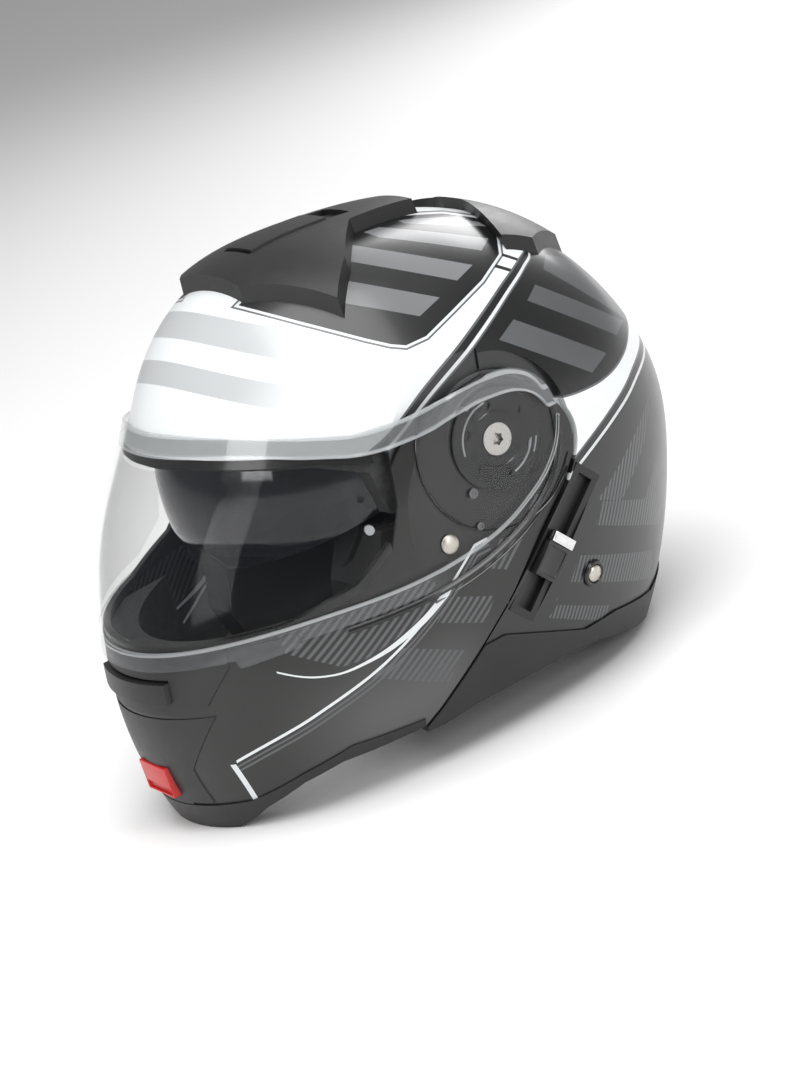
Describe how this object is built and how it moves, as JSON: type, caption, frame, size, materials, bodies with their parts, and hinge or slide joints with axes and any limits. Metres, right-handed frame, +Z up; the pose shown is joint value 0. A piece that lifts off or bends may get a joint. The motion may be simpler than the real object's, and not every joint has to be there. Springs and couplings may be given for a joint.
{
  "type": "motorcycle helmet",
  "caption": "Flip-up motorcycle helmet with a lifting chin bar and visor, an inner sun visor, vents, padded lining and a ratchet chin strap.",
  "frame": {"origin": "middle of the bounding box at the level of the lower edge that the helmet rests on", "axes": "+Z up, the face opening towards -Y, the rider's left towards +X"},
  "size_m": [0.2447, 0.342, 0.2664],
  "materials": {
    "shell_paint": "gloss graphic paint in white, black and grey",
    "chin_paint": "gloss graphic paint in black and grey",
    "black_plastic": "satin black",
    "rubber": "soft satin",
    "clear_plastic": "hard coated clear polycarbonate",
    "tinted_plastic": "dark tint",
    "foam": "black expanded polystyrene",
    "lining": "knitted lining",
    "webbing": "woven webbing",
    "steel": "satin",
    "red_plastic": "satin red",
    "stud_metal": "satin"
  },
  "bodies": {
    "shell": {"outer_shell": "shell_paint", "shell_base_trim": "black_plastic", "eyeport_gasket": "rubber", "base_plate_left": "steel", "base_plate_right": "steel", "pivot_screw_left": "steel", "pivot_screw_right": "steel", "top_vent_base": "black_plastic", "rear_exhaust_cover": "black_plastic", "shell_studs": "stud_metal", "impact_liner": "foam", "crown_pad": "lining", "cheek_pad_left": "lining", "cheek_pad_right": "lining", "neck_roll": "lining", "sun_visor_pins": "steel", "slider_rail": "black_plastic", "latch_posts": "steel", "chin_strap_left": "webbing", "chin_strap_right": "webbing", "strap_rivets": "steel", "ratchet_buckle": "steel", "buckle_tongue": "black_plastic"},
    "chin_bar": {"chin_shell": "chin_paint", "chin_liner": "foam", "chin_gasket": "rubber", "mouth_panel": "black_plastic", "chin_centre_panel": "black_plastic", "chin_lower_trim": "black_plastic", "latch_housing": "black_plastic", "hook_pins": "steel", "chin_studs": "stud_metal", "visor_plate_left": "black_plastic", "visor_plate_right": "black_plastic"},
    "visor": {"visor": "clear_plastic", "pinlock_lens": "clear_plastic", "pinlock_pins": "clear_plastic"},
    "sun_visor": {"sun_visor": "tinted_plastic"},
    "sun_visor_slider": {"sun_visor_slider": "black_plastic"},
    "top_vent_shutter": {"top_vent_shutter": "black_plastic"},
    "mouth_vent_shutter": {"mouth_vent_shutter": "black_plastic"},
    "latch_button": {"latch_button": "red_plastic"},
    "latch_hook_left": {"latch_hook_left": "steel"},
    "latch_hook_right": {"latch_hook_right": "steel"},
    "buckle_lever": {"buckle_lever": "steel"}
  },
  "joints": [
    {"name": "chin_bar_lift", "type": "hinge", "parent": "shell", "child": "chin_bar", "pos_m": [0, 0.0165, 0.151], "axis": [-1, 0, 0], "range_deg": [0, 82]},
    {"name": "visor_lift", "type": "hinge", "parent": "chin_bar", "child": "visor", "pos_m": [0, 0.0165, 0.151], "axis": [-1, 0, 0], "range_deg": [0, 35]},
    {"name": "sun_visor_raise", "type": "hinge", "parent": "shell", "child": "sun_visor", "pos_m": [0, -0.0035, 0.146], "axis": [-1, 0, 0], "range_deg": [0, 36]},
    {"name": "sun_visor_slide", "type": "slide", "parent": "shell", "child": "sun_visor_slider", "axis": [0.0437, 0.7468, 0.6636], "range_m": [0, 0.025]},
    {"name": "top_vent_slide", "type": "hinge", "parent": "shell", "child": "top_vent_shutter", "pos_m": [0, 0.0165, 0.151], "axis": [-1, 0, 0], "range_deg": [0, 5]},
    {"name": "mouth_vent_tilt", "type": "hinge", "parent": "chin_bar", "child": "mouth_vent_shutter", "pos_m": [0, -0.16786, 0.0763], "axis": [1, 0, 0], "range_deg": [0, 12]},
    {"name": "latch_button_press", "type": "slide", "parent": "chin_bar", "child": "latch_button", "axis": [0, 1, 0], "range_m": [0, 0.0035], "stiffness_N_per_m": 2500},
    {"name": "latch_hook_left_swing", "type": "hinge", "parent": "chin_bar", "child": "latch_hook_left", "pos_m": [0.0915, -0.0655, 0.048], "axis": [1, 0, 0], "range_deg": [0, 16]},
    {"name": "latch_hook_right_swing", "type": "hinge", "parent": "chin_bar", "child": "latch_hook_right", "pos_m": [-0.0915, -0.0655, 0.048], "axis": [1, 0, 0], "range_deg": [0, 16]},
    {"name": "buckle_lever_lift", "type": "hinge", "parent": "shell", "child": "buckle_lever", "pos_m": [-0.00473, 0.0225, 0.03571], "axis": [0, 1, 0], "range_deg": [0, 30], "stiffness_Nm_per_rad": 0.05}
  ],
  "couplings": [
    {"joint": "sun_visor_slide", "follows": "sun_visor_raise", "m_per_rad": 0.039789},
    {"joint": "latch_hook_left_swing", "follows": "latch_button_press", "rad_per_m": 79.787},
    {"joint": "latch_hook_right_swing", "follows": "latch_button_press", "rad_per_m": 79.787}
  ]
}
